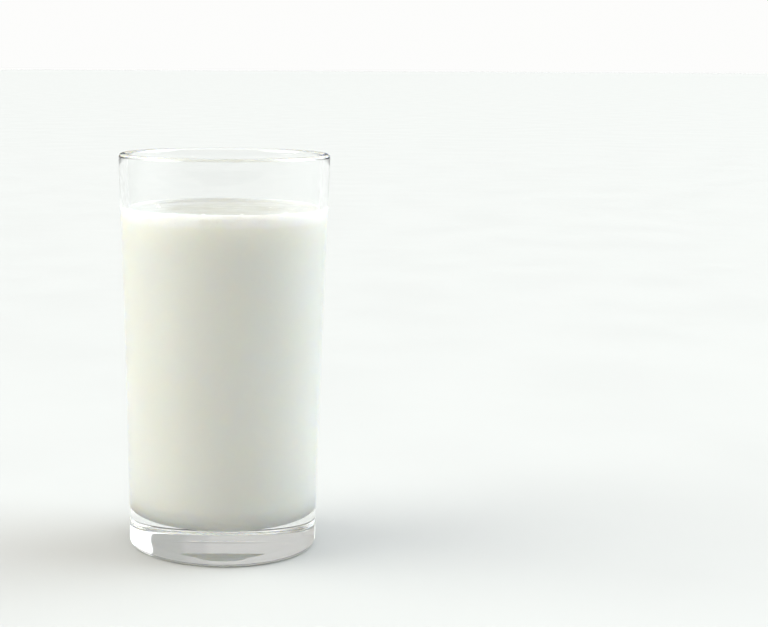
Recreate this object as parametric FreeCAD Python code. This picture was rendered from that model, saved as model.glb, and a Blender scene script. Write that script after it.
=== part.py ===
"""A straight-sided glass tumbler filled with milk, in millimetres.

The origin is the centre of the foot, on the surface that the glass stands on, and +Z is up.
"""
import FreeCAD, Part
import math
import os

# glass, outside
glass_height = 132.2
rim_radius = 35.0           # outermost radius, at the lip
foot_radius = 31.72         # radius of the upright band round the heavy base
foot_band_top = 8.8         # height where the upright band turns into the tapered wall
foot_corner = 2.0           # radius of the rounded corner under the band
outer_hollow = 0.23         # how far the outer wall curves in from a straight taper
lip_radius = 1.3            # the lip is fully rounded

# glass, inside
base_thickness = 10.3
floor_radius = 28.7         # inner wall's radius, just above its rounded corner
floor_corner = 9.0          # radius where the inner wall turns into the floor
inner_hollow = 0.2          # how far the inner wall curves in from a straight taper

# glass, underneath
punt_radius = 15.8          # shallow hollow under the foot
punt_depth = 0.8

# milk
milk_level = 113.5
meniscus_radius = 3.2       # curve of the milk where it climbs the wall
meniscus_angle = 50.0       # how steeply it meets the wall, in degrees from level


def point(radius, height):
    return FreeCAD.Vector(radius, 0, height)


def line(start, end):
    return Part.LineSegment(start, end).toShape()


def arc(start, middle, end):
    return Part.Arc(start, middle, end).toShape()


def on_circle(centre, radius, angle):
    """Point on a circle, at an angle in degrees up from outwards."""
    turn = math.radians(angle)
    return centre + point(radius * math.cos(turn), radius * math.sin(turn))


def wall_curve(bottom, top, hollow):
    """Curve from bottom to top that bends towards the axis by the hollow at half height."""
    middle = (bottom + top) / 2 - point(2 * hollow, 0)
    curve = Part.BezierCurve()
    curve.setPoles([bottom, middle, top])
    return curve


def turned(edges):
    """Solid made by turning a closed outline about the axis."""
    outline = Part.Wire(Part.__sortEdges__(edges))
    return Part.Face(outline).revolve(FreeCAD.Vector(0, 0, 0), FreeCAD.Vector(0, 0, 1), 360)


def inner_wall():
    bottom = point(floor_radius, base_thickness + floor_corner)
    top = point(rim_radius - 2 * lip_radius, glass_height - lip_radius)
    return wall_curve(bottom, top, inner_hollow)


def floor_edges():
    """Inside floor of the glass, from the axis to the foot of the inner wall."""
    centre = point(floor_radius - floor_corner, base_thickness + floor_corner)
    corner = [on_circle(centre, floor_corner, angle) for angle in (-90, -45, 0)]
    return [line(point(0, base_thickness), corner[0]), arc(*corner)]


def foot_edges():
    """Underside and upright band, from the axis to the start of the tapered wall."""
    ball_radius = (punt_radius ** 2 + punt_depth ** 2) / (2 * punt_depth)
    ball_centre = point(0, punt_depth - ball_radius)
    edge_angle = math.degrees(math.acos(punt_radius / ball_radius))
    angles = (90, (90 + edge_angle) / 2, edge_angle)
    punt = [on_circle(ball_centre, ball_radius, angle) for angle in angles]
    centre = point(foot_radius - foot_corner, foot_corner)
    corner = [on_circle(centre, foot_corner, angle) for angle in (-90, -45, 0)]
    return [
        arc(*punt),
        line(punt[2], corner[0]),
        arc(*corner),
        line(corner[2], point(foot_radius, foot_band_top)),
    ]


def glass():
    centre = point(rim_radius - lip_radius, glass_height - lip_radius)
    lip = [on_circle(centre, lip_radius, angle) for angle in (0, 90, 180)]
    edges = foot_edges() + floor_edges()
    edges.append(wall_curve(point(foot_radius, foot_band_top), lip[0], outer_hollow).toShape())
    edges.append(arc(*lip))
    edges.append(inner_wall().toShape())
    edges.append(line(point(0, punt_depth), point(0, base_thickness)))
    return turned(edges)


def milk():
    climb = meniscus_radius * (1 - math.cos(math.radians(meniscus_angle)))
    wall = inner_wall()
    wall_start = wall.value(0).z
    wall_share = (milk_level + climb - wall_start) / (wall.value(1).z - wall_start)
    wall.segment(0, wall_share)
    contact = wall.value(1)
    reach = meniscus_radius * math.sin(math.radians(meniscus_angle))
    centre = point(contact.x - reach, milk_level + meniscus_radius)
    angles = (-90, meniscus_angle / 2 - 90, meniscus_angle - 90)
    meniscus = [on_circle(centre, meniscus_radius, angle) for angle in angles]
    edges = floor_edges()
    edges.append(wall.toShape())
    edges.append(arc(meniscus[0], meniscus[1], contact))
    edges.append(line(point(0, milk_level), meniscus[0]))
    edges.append(line(point(0, milk_level), point(0, base_thickness)))
    return turned(edges)


os.makedirs("parts", exist_ok=True)
for node, make in (("glass", glass), ("milk", milk)):
    solid = make()
    solid.exportStep("parts/" + node + ".step")
    print(node, solid.isValid(), round(solid.Volume / 1000, 2), "ml", solid.optimalBoundingBox())
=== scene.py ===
import math
import random
import bpy
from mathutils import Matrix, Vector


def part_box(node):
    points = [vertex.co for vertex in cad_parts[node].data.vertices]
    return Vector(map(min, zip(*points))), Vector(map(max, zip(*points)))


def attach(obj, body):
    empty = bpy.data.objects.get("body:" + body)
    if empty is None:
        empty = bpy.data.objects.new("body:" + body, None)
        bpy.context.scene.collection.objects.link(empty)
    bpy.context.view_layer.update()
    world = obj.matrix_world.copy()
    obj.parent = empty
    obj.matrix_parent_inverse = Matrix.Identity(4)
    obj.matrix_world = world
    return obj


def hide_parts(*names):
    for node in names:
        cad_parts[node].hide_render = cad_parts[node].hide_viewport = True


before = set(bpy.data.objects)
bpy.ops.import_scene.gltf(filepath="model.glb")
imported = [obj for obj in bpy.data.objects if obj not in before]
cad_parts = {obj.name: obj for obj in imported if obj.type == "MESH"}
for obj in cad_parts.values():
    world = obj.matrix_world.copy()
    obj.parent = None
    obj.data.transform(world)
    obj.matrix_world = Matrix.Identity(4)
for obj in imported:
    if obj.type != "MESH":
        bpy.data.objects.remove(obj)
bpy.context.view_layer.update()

mm = 0.001
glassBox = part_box("glass")
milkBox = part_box("milk")
print("frame loaded:", sorted(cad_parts))


def setMode(mode):
    bpy.ops.object.mode_set(mode=mode)


def onCircle(radius, height, size, angle):
    turn = math.radians(angle)
    return radius + size * math.cos(turn), height + size * math.sin(turn)


def arcPoints(radius, height, size, startAngle, endAngle, steps):
    turns = [startAngle + (endAngle - startAngle) * i / steps for i in range(steps + 1)]
    return [onCircle(radius, height, size, turn) for turn in turns]


def onWall(bottom, top, hollow, share):
    # a straight taper that curves in towards the axis by hollow at half height
    radius = bottom[0] + (top[0] - bottom[0]) * share - 4 * hollow * share * (1 - share)
    return radius, bottom[1] + (top[1] - bottom[1]) * share


def drawOutline(name, points):
    # a plane is merged to a single corner, and that is extruded from point to point
    bpy.ops.object.select_all(action="DESELECT")
    radius, height = points[0]
    bpy.ops.mesh.primitive_plane_add(size=1 * mm, location=(radius, 0, height))
    piece = bpy.context.object
    piece.name = name
    bpy.ops.object.transform_apply(location=True)
    setMode("EDIT")
    bpy.ops.mesh.select_all(action="SELECT")
    bpy.ops.mesh.merge(type="CENTER")
    for newRadius, newHeight in points[1:]:
        move = (newRadius - radius, 0, newHeight - height)
        bpy.ops.mesh.extrude_vertices_move(TRANSFORM_OT_translate={"value": move})
        radius, height = newRadius, newHeight
    setMode("OBJECT")
    return piece


turning = {
    "segments": 192,
    "mergeGap": 0.002 * mm,
    "sharpAngle": 35,
}


def turnOutline(piece, setup):
    setMode("EDIT")
    bpy.ops.mesh.select_all(action="SELECT")
    bpy.ops.mesh.spin(steps=setup["segments"], angle=2 * math.pi, center=(0, 0, 0), axis=(0, 0, 1))
    bpy.ops.mesh.select_all(action="SELECT")
    bpy.ops.mesh.remove_doubles(threshold=setup["mergeGap"])
    bpy.ops.mesh.normals_make_consistent(inside=False)
    setMode("OBJECT")
    bpy.ops.object.shade_smooth_by_angle(angle=math.radians(setup["sharpAngle"]))


glassShape = {
    "rimRadius": glassBox[1].x,
    "height": glassBox[1].z,
    "footRadius": 31.72 * mm,
    "bandTop": 8.8 * mm,       # the band round the base is upright up to here
    "footCorner": 2.0 * mm,
    "outerHollow": 0.23 * mm,  # how far the wall curves in at half height
    "lipRadius": 1.3 * mm,
    "floorHeight": milkBox[0].z,
    "floorRadius": 28.7 * mm,
    "floorCorner": 9.0 * mm,
    "innerHollow": 0.2 * mm,
    "puntRadius": 15.8 * mm,   # shallow hollow under the foot
    "puntDepth": 0.8 * mm,
    "puntSteps": 12,
    "cornerSteps": 16,
    "wallSteps": 40,
    "lipSteps": 20,
}


def cornerCentre(shape):
    # middle of the rounded corner inside, where the wall turns into the floor
    corner = shape["floorCorner"]
    return shape["floorRadius"] - corner, shape["floorHeight"] + corner


def innerWall(shape, share):
    bottom = (shape["floorRadius"], shape["floorHeight"] + shape["floorCorner"])
    top = (shape["rimRadius"] - 2 * shape["lipRadius"], shape["height"] - shape["lipRadius"])
    return onWall(bottom, top, shape["innerHollow"], share)


def innerWallShare(shape, height):
    # how far up the inner wall a height lies, from 0 at the corner to 1 at the lip
    low = shape["floorHeight"] + shape["floorCorner"]
    return (height - low) / (shape["height"] - shape["lipRadius"] - low)


def makeGlass(shape):
    ball = (shape["puntRadius"] ** 2 + shape["puntDepth"] ** 2) / (2 * shape["puntDepth"])
    edgeAngle = math.degrees(math.acos(shape["puntRadius"] / ball))
    outline = arcPoints(0, shape["puntDepth"] - ball, ball, 90, edgeAngle, shape["puntSteps"])
    corner = shape["footCorner"]
    outline += arcPoints(shape["footRadius"] - corner, corner, corner, -90, 0, shape["cornerSteps"])
    lipCentre = shape["rimRadius"] - shape["lipRadius"]
    lipHeight = shape["height"] - shape["lipRadius"]
    wallSteps = shape["wallSteps"]
    foot = (shape["footRadius"], shape["bandTop"])
    lip = (shape["rimRadius"], lipHeight)
    outline += [onWall(foot, lip, shape["outerHollow"], i / wallSteps) for i in range(wallSteps + 1)]
    outline += arcPoints(lipCentre, lipHeight, shape["lipRadius"], 0, 180, shape["lipSteps"])[1:]
    outline += [innerWall(shape, i / wallSteps) for i in range(wallSteps - 1, -1, -1)]
    outline += arcPoints(*cornerCentre(shape), shape["floorCorner"], 0, -90, shape["cornerSteps"])[1:]
    outline.append((0, shape["floorHeight"]))
    piece = drawOutline("tumbler", outline)
    turnOutline(piece, turning)
    return piece


milkShape = {
    "level": 113.5 * mm,
    "edge": milkBox[1].z,      # the milk climbs the wall up to here
    "intoWall": 0.15 * mm,
    "meniscus": 3.2 * mm,
    "meniscusAngle": 50,
    "cornerSteps": 16,
    "wallSteps": 60,
    "surfaceRings": 28,
    "swell": 0.12 * mm,        # the top isn't quite flat, from how it was poured
    "swellSize": 11 * mm,
    "swellShore": 0.25,        # the outer part of the surface, over which the swell fades out
    "edgeStrip": 0.3 * mm,     # outermost strip, which keeps the body's finish
}


def makeMilk(shape, glass):
    into = shape["intoWall"]
    steps = shape["cornerSteps"]
    outline = [(0, glass["floorHeight"] - into)]
    outline += arcPoints(*cornerCentre(glass), glass["floorCorner"] + into, -90, 0, steps)
    topShare = innerWallShare(glass, shape["edge"])
    wallSteps = shape["wallSteps"]
    wall = [innerWall(glass, topShare * i / wallSteps) for i in range(1, wallSteps + 1)]
    outline += [(radius + into, height) for radius, height in wall]
    contact = wall[-1][0]
    curve = shape["meniscus"]
    centre = contact - curve * math.sin(math.radians(shape["meniscusAngle"]))
    outline += arcPoints(centre, shape["level"] + curve, curve, shape["meniscusAngle"] - 90, -90, steps)
    rings = shape["surfaceRings"]
    outline += [(centre * k / rings, shape["level"]) for k in range(rings - 1, -1, -1)]
    piece = drawOutline("milk_fill", outline)
    turnOutline(piece, turning)
    swellSurface(piece, shape, centre)
    return piece


def swellSurface(piece, shape, reach):
    # slow uneven waves over the open surface, which fade out before the wall
    group = piece.vertex_groups.new(name="surface")
    for vertex in piece.data.vertices:
        radius = math.hypot(vertex.co.x, vertex.co.y)
        if vertex.co.z > shape["level"] - 0.01 * mm and radius < reach:
            inwards = (1 - radius / reach) / shape["swellShore"]
            group.add([vertex.index], min(1, inwards), "REPLACE")
    waves = bpy.data.textures.new("waves", "CLOUDS")
    waves.noise_scale = shape["swellSize"]
    waves.noise_depth = 2
    swell = piece.modifiers.new("swell", "DISPLACE")
    swell.texture = waves
    swell.texture_coords = "LOCAL"
    swell.direction = "Z"
    swell.mid_level = 0.5
    swell.strength = shape["swell"]
    swell.vertex_group = group.name
    bpy.ops.object.modifier_apply(modifier=swell.name)


def giveSurfaceItsGlossAndPaintedShade(piece, shape, finish):
    # the open top is a second slot, because only there does the milk meet air; its colours are painted
    # shade, far darker than the body
    piece.data.materials.append(finish)
    reach = max(vertex.co.x for vertex in piece.data.vertices) - shape["edgeStrip"]
    for face in piece.data.polygons:
        facesUp = face.normal.z > 0.3 and face.center.z > shape["level"] - 1 * mm
        if facesUp and math.hypot(face.center.x, face.center.y) < reach:
            face.material_index = 1


bubbleShape = {
    "sizes": (0.28 * mm, 1.05 * mm),
    "flatness": 0.86,
    "seed": 11,
    "mostlySmall": 2.2,        # the higher, the fewer large ones in the clusters
    "spread": 0.6,             # how widely they lie round the middle of their cluster
    # centre and reach in degrees from the front, how far below the milk's edge, and how many
    "clusters": [
        {"turn": -24, "reach": 5, "drop": (0.6 * mm, 2.2 * mm), "count": 7},
        {"turn": -12, "reach": 4, "drop": (1.0 * mm, 3.4 * mm), "count": 10},
        {"turn": -4, "reach": 3, "drop": (0.8 * mm, 2.2 * mm), "count": 5},
        {"turn": 4, "reach": 4, "drop": (1.2 * mm, 2.6 * mm), "count": 5},
        {"turn": 12, "reach": 5, "drop": (0.8 * mm, 2.0 * mm), "count": 5},
        {"turn": 22, "reach": 6, "drop": (0.8 * mm, 2.2 * mm), "count": 6},
        {"turn": 75, "reach": 12, "drop": (0.6 * mm, 2.2 * mm), "count": 5},
        {"turn": 150, "reach": 18, "drop": (0.6 * mm, 2.6 * mm), "count": 8},
        {"turn": 215, "reach": 14, "drop": (0.6 * mm, 2.2 * mm), "count": 6},
        {"turn": 290, "reach": 12, "drop": (0.6 * mm, 2.2 * mm), "count": 4},
    ],
    "afloat": 26,
    "afloatMostlySmall": 3,
    "afloatTurn": (-80, 55),   # middle and spread, in degrees
    "afloatReach": (29 * mm, 6 * mm),
    "sunk": 0.3,               # share of its size by which a floating one sits lower
    "proud": 0.07 * mm,        # how far those at the wall stand out of the milk
}


def addBubble(place, size, flatness, finish):
    bpy.ops.object.select_all(action="DESELECT")
    bpy.ops.mesh.primitive_ico_sphere_add(subdivisions=3, radius=size, location=place)
    bubble = bpy.context.object
    bubble.scale.z = flatness
    bpy.ops.object.transform_apply(location=True, scale=True)
    bpy.ops.object.shade_smooth()
    bubble.data.materials.append(finish)
    return bubble


def makeBubbles(shape, milk, glass, wallFinish, openFinishPaintedShade):
    dice = random.Random(shape["seed"])
    small, large = shape["sizes"]
    flatness = shape["flatness"]
    bubbles = []
    for cluster in shape["clusters"]:
        for i in range(cluster["count"]):
            size = small + (large - small) * dice.random() ** shape["mostlySmall"]
            turn = math.radians(cluster["turn"] - 90 + cluster["reach"] * dice.gauss(0, shape["spread"]))
            height = milk["edge"] - size - dice.uniform(*cluster["drop"])
            wall = innerWall(glass, innerWallShare(glass, height))[0] + milk["intoWall"]
            out = wall + shape["proud"] - size
            place = (out * math.cos(turn), out * math.sin(turn), height)
            bubbles.append(addBubble(place, size, flatness, wallFinish))
    farthest, spread = shape["afloatReach"]
    for i in range(shape["afloat"]):
        size = small + (large - small) * dice.random() ** shape["afloatMostlySmall"]
        turn = math.radians(dice.gauss(*shape["afloatTurn"]))
        out = farthest - abs(dice.gauss(0, spread))
        place = (out * math.cos(turn), out * math.sin(turn), milk["level"] - shape["sunk"] * size)
        bubbles.append(addBubble(place, size, flatness, openFinishPaintedShade))
    bpy.ops.object.select_all(action="DESELECT")
    for bubble in bubbles:
        bubble.select_set(True)
    bpy.context.view_layer.objects.active = bubbles[0]
    bpy.ops.object.join()
    piece = bpy.context.object
    piece.name = "milk_bubbles"
    return piece


def newMaterial(name):
    material = bpy.data.materials.new(name)
    material.use_nodes = True
    tree = material.node_tree
    tree.nodes.clear()
    out = tree.nodes.new("ShaderNodeOutputMaterial")
    shader = tree.nodes.new("ShaderNodeBsdfPrincipled")
    tree.links.new(shader.outputs[0], out.inputs[0])
    return material, tree, shader


def doMath(tree, operation, *values):
    node = tree.nodes.new("ShaderNodeMath")
    node.operation = operation
    for socket, value in zip(node.inputs, values):
        if isinstance(value, (int, float)):
            socket.default_value = value
        else:
            tree.links.new(value, socket)
    return node.outputs[0]


def noise(tree, size, detail=2.0, stretch=(1, 1, 1)):
    # cloudy pattern whose patches are about as large as size
    where = tree.nodes.new("ShaderNodeTexCoord")
    mapping = tree.nodes.new("ShaderNodeMapping")
    mapping.inputs["Scale"].default_value = stretch
    cloud = tree.nodes.new("ShaderNodeTexNoise")
    cloud.inputs["Scale"].default_value = 1 / size
    cloud.inputs["Detail"].default_value = detail
    tree.links.new(where.outputs["Object"], mapping.inputs[0])
    tree.links.new(mapping.outputs[0], cloud.inputs["Vector"])
    return cloud.outputs[0]


def between(tree, value, low, high, start=0.3, end=0.7):
    # a number from low to high as value goes from start to end
    step = tree.nodes.new("ShaderNodeMapRange")
    step.interpolation_type = "SMOOTHSTEP"
    for name, number in (("From Min", start), ("From Max", end), ("To Min", low), ("To Max", high)):
        step.inputs[name].default_value = number
    tree.links.new(value, step.inputs["Value"])
    return step.outputs["Result"]


def mixColours(tree, share, colourA, colourB):
    mix = tree.nodes.new("ShaderNodeMix")
    mix.data_type = "RGBA"
    tree.links.new(share, mix.inputs["Factor"])
    for name, colour in (("A", colourA), ("B", colourB)):
        if isinstance(colour, tuple):
            mix.inputs[name].default_value = (*colour, 1)
        else:
            tree.links.new(colour, mix.inputs[name])
    return mix.outputs["Result"]


def bump(tree, shader, height, depth):
    node = tree.nodes.new("ShaderNodeBump")
    node.inputs["Strength"].default_value = 1
    node.inputs["Distance"].default_value = depth
    tree.links.new(height, node.inputs["Height"])
    tree.links.new(node.outputs[0], shader.inputs["Normal"])


clearGlass = {
    "colours": ((0.985, 0.987, 0.986), (0.970, 0.973, 0.971)),
    "patch": 30 * mm,
    "roughness": (0.0, 0.012),
    "smear": 9 * mm,
    "ripple": 0.012 * mm,      # pressed glass is never quite even
    "rippleSize": 14 * mm,
    "refraction": 1.5,
}


def glassMaterial(finish):
    material, tree, shader = newMaterial("clear glass")
    patches = between(tree, noise(tree, finish["patch"]), 0, 1)
    tree.links.new(mixColours(tree, patches, *finish["colours"]), shader.inputs["Base Color"])
    smears = between(tree, noise(tree, finish["smear"], 3, (1, 1, 0.5)), *finish["roughness"], 0.45, 0.8)
    tree.links.new(smears, shader.inputs["Roughness"])
    bump(tree, shader, noise(tree, finish["rippleSize"], 1, (1, 1, 0.6)), finish["ripple"])
    shader.inputs["IOR"].default_value = finish["refraction"]
    shader.inputs["Transmission Weight"].default_value = 1
    return material


milkBody = {
    "colours": ((0.946, 0.956, 0.884), (0.940, 0.950, 0.872)),
    "patch": 25 * mm,
    # whiter band under the top edge: partly the froth's own colour, partly painted light from the brightly
    # lit top
    "frothAndTopLight": (0.982, 0.982, 0.965),
    "frothAndLightDepth": 3.5 * mm,
    "frothAndLightFade": (1.5 * mm, 0.4 * mm),       # below and above the lower border of the band of froth and painted light
    "frothAndLightRagged": 2 * mm,
    "frothAndLightPatch": 5 * mm,
    "roughness": (0.35, 0.5),
    "grain": 0.01 * mm,
    "grainSize": 1.1 * mm,
    "gloss": 0,                # the body meets only glass, so it has no shine of its own
}

milkSurfaceWithPaintedShade = {
    # the same milk painted far darker than the body: painted shade against the bright light from above
    "colours": ((0.45, 0.45, 0.42), (0.40, 0.39, 0.345)),
    "patch": 16 * mm,
    "shore": (0.57, 0.57, 0.555),            # whiter where the surface nears the wall, so the painted shade is lighter there
    "shoreReach": (13 * mm, 29 * mm),
    "roughness": (0.3, 0.5),
    "grain": 0.006 * mm,
    "grainSize": 3 * mm,
}

milkDepth = {
    "scatter": 5.5 * mm,       # how far light wanders inside the milk
    "scatterTint": (1.0, 0.9, 0.7),
}

bubbleFilm = {
    "atWall": ((1.0, 1.0, 0.99), (0.99, 0.99, 0.975)),
    # the same film painted darker on the open top: painted shade against the bright light from above
    "afloat": ((0.86, 0.86, 0.84), (0.78, 0.775, 0.75)),
    "patch": 1.2 * mm,
    "roughness": (0.08, 0.2),
    "grain": 0.004 * mm,
    "grainSize": 0.5 * mm,
    "gloss": 0,
}


def heightOf(tree):
    where = tree.nodes.new("ShaderNodeTexCoord")
    split = tree.nodes.new("ShaderNodeSeparateXYZ")
    tree.links.new(where.outputs["Object"], split.inputs[0])
    return split.outputs["Z"]


def distanceFromAxis(tree):
    where = tree.nodes.new("ShaderNodeTexCoord")
    flat = tree.nodes.new("ShaderNodeVectorMath")
    flat.operation = "MULTIPLY"
    flat.inputs[1].default_value = (1, 1, 0)
    length = tree.nodes.new("ShaderNodeVectorMath")
    length.operation = "LENGTH"
    tree.links.new(where.outputs["Object"], flat.inputs[0])
    tree.links.new(flat.outputs[0], length.inputs[0])
    return length.outputs["Value"]


def scatterLight(shader, depth):
    shader.inputs["Subsurface Weight"].default_value = 1
    shader.inputs["Subsurface Scale"].default_value = depth["scatter"]
    shader.inputs["Subsurface Radius"].default_value = depth["scatterTint"]


def milkMaterial(finish, shape):
    material, tree, shader = newMaterial("milk")
    body = mixColours(tree, between(tree, noise(tree, finish["patch"]), 0, 1), *finish["colours"])
    # a whiter band under the top edge, with an uneven lower border: partly fine froth, partly painted light
    # for the light that comes down from the lit top
    edge = shape["edge"] - finish["frothAndLightDepth"]
    below, above = finish["frothAndLightFade"]
    uneven = doMath(tree, "SUBTRACT", noise(tree, finish["frothAndLightPatch"], 3), 0.5)
    ragged = doMath(tree, "MULTIPLY", uneven, finish["frothAndLightRagged"])
    height = doMath(tree, "ADD", heightOf(tree), ragged)
    frothAndTopLight = between(tree, height, 0, 1, edge - below, edge + above)
    tree.links.new(mixColours(tree, frothAndTopLight, body, finish["frothAndTopLight"]), shader.inputs["Base Color"])
    tree.links.new(between(tree, noise(tree, 4 * mm), *finish["roughness"]), shader.inputs["Roughness"])
    bump(tree, shader, noise(tree, finish["grainSize"], 3), finish["grain"])
    shader.inputs["Specular IOR Level"].default_value = finish["gloss"]
    scatterLight(shader, milkDepth)
    return material


def surfaceMaterialWithPaintedShade(finish):
    # the open top's milk, painted darker as painted shade
    material, tree, shader = newMaterial("milk surface with painted shade")
    patches = between(tree, noise(tree, finish["patch"], 3), 0, 1, 0.35, 0.65)
    middle = mixColours(tree, patches, *finish["colours"])
    shore = between(tree, distanceFromAxis(tree), 0, 1, *finish["shoreReach"])
    tree.links.new(mixColours(tree, shore, middle, finish["shore"]), shader.inputs["Base Color"])
    tree.links.new(between(tree, noise(tree, 6 * mm), *finish["roughness"]), shader.inputs["Roughness"])
    bump(tree, shader, noise(tree, finish["grainSize"], 3), finish["grain"])
    scatterLight(shader, milkDepth)
    return material


def bubbleMaterial(name, finish, colours):
    material, tree, shader = newMaterial(name)
    patches = between(tree, noise(tree, finish["patch"]), 0, 1)
    tree.links.new(mixColours(tree, patches, *colours), shader.inputs["Base Color"])
    tree.links.new(between(tree, noise(tree, 0.8 * mm), *finish["roughness"]), shader.inputs["Roughness"])
    bump(tree, shader, noise(tree, finish["grainSize"]), finish["grain"])
    shader.inputs["Specular IOR Level"].default_value = finish["gloss"]
    return material


tumbler = makeGlass(glassShape)
tumbler.data.materials.append(glassMaterial(clearGlass))
print("glass turned")
milk = makeMilk(milkShape, glassShape)
milk.data.materials.append(milkMaterial(milkBody, milkShape))
giveSurfaceItsGlossAndPaintedShade(milk, milkShape, surfaceMaterialWithPaintedShade(milkSurfaceWithPaintedShade))
print("milk poured")
wallFilm = bubbleMaterial("film at the wall", bubbleFilm, bubbleFilm["atWall"])
# the floating film is painted darker, as painted shade
floatFilmPaintedShade = bubbleMaterial("film afloat painted shade", bubbleFilm, bubbleFilm["afloat"])
bubbles = makeBubbles(bubbleShape, milkShape, glassShape, wallFilm, floatFilmPaintedShade)
print("bubbles made:", len(bubbles.data.polygons), "faces")
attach(tumbler, "root")
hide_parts("glass")
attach(milk, "root")
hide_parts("milk")
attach(bubbles, "root")


floorSetup = {
    "size": 60,
    "drop": 0.1 * mm,          # just clear of the foot, so that the glass keeps its own shine there
    "seen": (0.44, 0.44, 0.44),
    "bounced": (0.4, 0.4, 0.4),              # less of the floor's light reaches the milk's sides
    "roughness": (0.6, 0.75),
    "patch": 80 * mm,
    "gloss": 0.3,
}


def makeFloor(setup):
    bpy.ops.object.select_all(action="DESELECT")
    bpy.ops.mesh.primitive_plane_add(size=setup["size"], location=(0, 0, -setup["drop"]))
    floor = bpy.context.object
    floor.name = "floor"
    material, tree, shader = newMaterial("floor")
    path = tree.nodes.new("ShaderNodeLightPath")
    direct = doMath(tree, "COMPARE", path.outputs["Diffuse Depth"], 0, 0.1)
    colour = mixColours(tree, direct, setup["bounced"], setup["seen"])
    tree.links.new(colour, shader.inputs["Base Color"])
    worn = between(tree, noise(tree, setup["patch"]), *setup["roughness"])
    tree.links.new(worn, shader.inputs["Roughness"])
    shader.inputs["Specular IOR Level"].default_value = setup["gloss"]
    floor.data.materials.append(material)


# the studio is one room of soft light round the glass, in degrees: turn is 0 at the camera, 90 at its right
# and 180 behind the glass, and tilt is 0 level and 90 overhead. Each panel lies over those before it.
studio = {
    "room": (0.54, 0.54, 0.53),
    "panels": [
        # dim wall behind the camera, then the ceiling, then a softbox at the left and one at the right
        {"turn": (6, 60), "tilt": (24, 28), "soft": 10, "colour": (0.36, 0.31, 0.24)},
        {"turn": (0, 181), "tilt": (90, 40), "soft": 8, "colour": (1.8, 1.8, 1.78)},
        {"turn": (-88, 32), "tilt": (25, 27), "soft": 14, "colour": (6.5, 6.6, 6.1)},
        {"turn": (108, 34), "tilt": (28, 30), "soft": 12, "colour": (5.5, 6.05, 6.2)},
        # low boards behind the glass, which show through its thick base
        {"turn": (-112, 14), "tilt": (14, 11), "soft": 2, "colour": (0.62, 0.60, 0.57)},
        {"turn": (-152, 34), "tilt": (10, 25), "soft": 2, "colour": (0.62, 0.62, 0.60)},
        {"turn": (153, 11), "tilt": (10, 25), "soft": 2, "colour": (0.47, 0.48, 0.46)},
        {"turn": (130, 12), "tilt": (10, 25), "soft": 2, "colour": (1.6, 1.6, 1.6)},
        # the far edge of the room, which draws thin dark lines in the glass
        {"turn": (0, 181), "tilt": (0, 7), "soft": 2, "colour": (0.04, 0.04, 0.04)},
    ],
    "backdrop": (0.98, 0.98, 0.97),          # what the camera itself sees past the floor
}


def within(tree, angle, middle, reach, soft):
    # 1 where the angle is within reach of the middle, with a soft edge
    away = doMath(tree, "WRAP", doMath(tree, "SUBTRACT", angle, middle), 180, -180)
    return between(tree, doMath(tree, "ABSOLUTE", away), 1, 0, reach - soft, reach + soft)


def makeWorld(setup):
    world = bpy.data.worlds.new("studio")
    world.use_nodes = True
    tree = world.node_tree
    where = tree.nodes.new("ShaderNodeTexCoord")
    split = tree.nodes.new("ShaderNodeSeparateXYZ")
    tree.links.new(where.outputs["Generated"], split.inputs[0])
    towards = doMath(tree, "MULTIPLY", split.outputs["Y"], -1)
    turn = doMath(tree, "DEGREES", doMath(tree, "ARCTAN2", split.outputs["X"], towards))
    tilt = doMath(tree, "DEGREES", doMath(tree, "ARCSINE", split.outputs["Z"]))
    colour = setup["room"]
    for panel in setup["panels"]:
        across = within(tree, turn, *panel["turn"], panel["soft"])
        up = within(tree, tilt, *panel["tilt"], panel["soft"])
        colour = mixColours(tree, doMath(tree, "MULTIPLY", across, up), colour, panel["colour"])
    seen = tree.nodes.new("ShaderNodeLightPath").outputs["Is Camera Ray"]
    colour = mixColours(tree, seen, colour, setup["backdrop"])
    tree.links.new(colour, tree.nodes["Background"].inputs["Color"])
    bpy.context.scene.world = world


cameraSetup = {
    "distance": 539.13 * mm,
    "height": 162.07 * mm,
    "pitch": 8.809,
    "roll": 0.295,
    "lens": 76.2,
    "sensor": 36,
    "shift": 0.2071,
    "near": 0.01,
    "far": 100,
}


def makeCamera(setup):
    data = bpy.data.cameras.new("camera")
    data.lens = setup["lens"]
    data.sensor_width = setup["sensor"]
    data.shift_x = setup["shift"]
    data.clip_start = setup["near"]
    data.clip_end = setup["far"]
    camera = bpy.data.objects.new("camera", data)
    bpy.context.scene.collection.objects.link(camera)
    camera.location = (0, -setup["distance"], setup["height"])
    camera.rotation_euler = (math.radians(90 - setup["pitch"]), -math.radians(setup["roll"]), 0)
    bpy.context.scene.camera = camera


makeFloor(floorSetup)
makeWorld(studio)
makeCamera(cameraSetup)
scene = bpy.context.scene
scene.view_settings.view_transform = "Standard"
scene.cycles.max_bounces = 32
scene.cycles.transmission_bounces = 24
scene.cycles.glossy_bounces = 12
print("studio set up")
